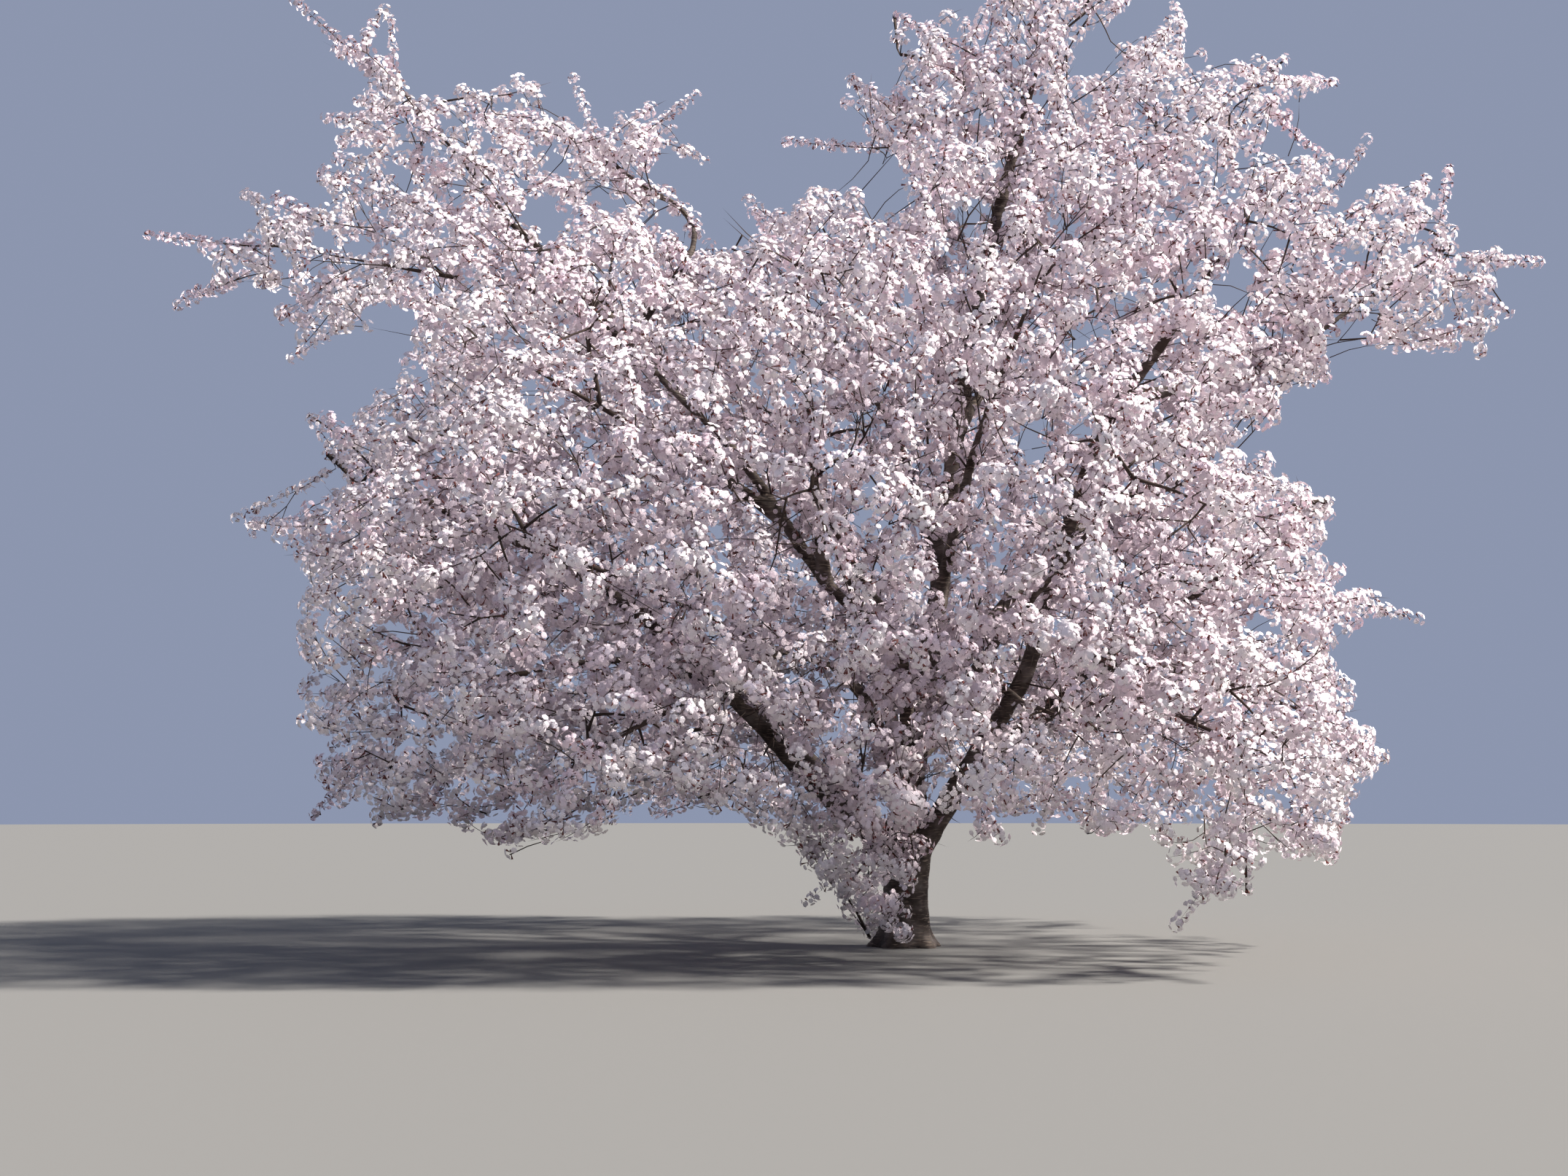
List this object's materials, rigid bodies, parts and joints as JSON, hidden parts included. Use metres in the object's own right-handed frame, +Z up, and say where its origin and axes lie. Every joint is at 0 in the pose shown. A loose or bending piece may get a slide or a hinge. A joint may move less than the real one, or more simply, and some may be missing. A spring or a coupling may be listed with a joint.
{
  "type": "cherry blossom tree",
  "caption": "Mature spreading cherry tree in full pale blossom, with a short flared trunk that forks low into tapering boughs, and masses of blossom that sweep down to the ground.",
  "frame": {"origin": "middle of the flat cut under the trunk, at ground level", "axes": "+Z up, +X to the right as seen in the picture, -Y to the picture's camera"},
  "size_m": [15.45, 11.609, 11.0492],
  "materials": {
    "bark": "rough grey-brown bark with level bands of pores",
    "blossom": "soft matt petals, white to pale pink"
  },
  "bodies": {
    "root": {"trunk": "bark", "bough_crest": "bark", "bough_east_upper": "bark", "bough_west_heart": "bark", "bough_west_edge": "bark", "bough_front_mid": "bark", "bough_back_mid": "bark", "bough_back_west": "bark", "bough_back_east": "bark", "bough_crest_west": "bark", "bough_crest_east": "bark", "bough_crest_heart": "bark", "bough_saddle": "bark", "bough_east_tip": "bark", "bough_front_upper": "bark", "bough_front_west_upper": "bark", "bough_front_heart": "bark", "bough_west_tier": "bark", "bough_west_top": "bark", "bough_west_inner": "bark", "bough_front_west": "bark", "bough_front_east": "bark", "bough_east_mid": "bark", "bough_skirt_west": "bark", "bough_skirt_front_west": "bark", "bough_skirt_front": "bark", "bough_skirt_east": "bark", "bough_skirt_far_east": "bark", "bough_back_low_west": "bark", "bough_back_low_east": "bark", "blossom_crest": "blossom", "blossom_east_upper": "blossom", "blossom_west_heart": "blossom", "blossom_west_edge": "blossom", "blossom_front_mid": "blossom", "blossom_back_mid": "blossom", "blossom_back_west": "blossom", "blossom_back_east": "blossom", "blossom_crest_west": "blossom", "blossom_crest_east": "blossom", "blossom_crest_heart": "blossom", "blossom_saddle": "blossom", "blossom_east_tip": "blossom", "blossom_front_upper": "blossom", "blossom_front_west_upper": "blossom", "blossom_front_heart": "blossom", "blossom_west_tier": "blossom", "blossom_west_top": "blossom", "blossom_west_inner": "blossom", "blossom_front_west": "blossom", "blossom_front_east": "blossom", "blossom_east_mid": "blossom", "blossom_skirt_west": "blossom", "blossom_skirt_front_west": "blossom", "blossom_skirt_front": "blossom", "blossom_skirt_east": "blossom", "blossom_skirt_far_east": "blossom", "blossom_back_low_west": "blossom", "blossom_back_low_east": "blossom", "blossom_weeping_front": "blossom"}
  },
  "joints": []
}
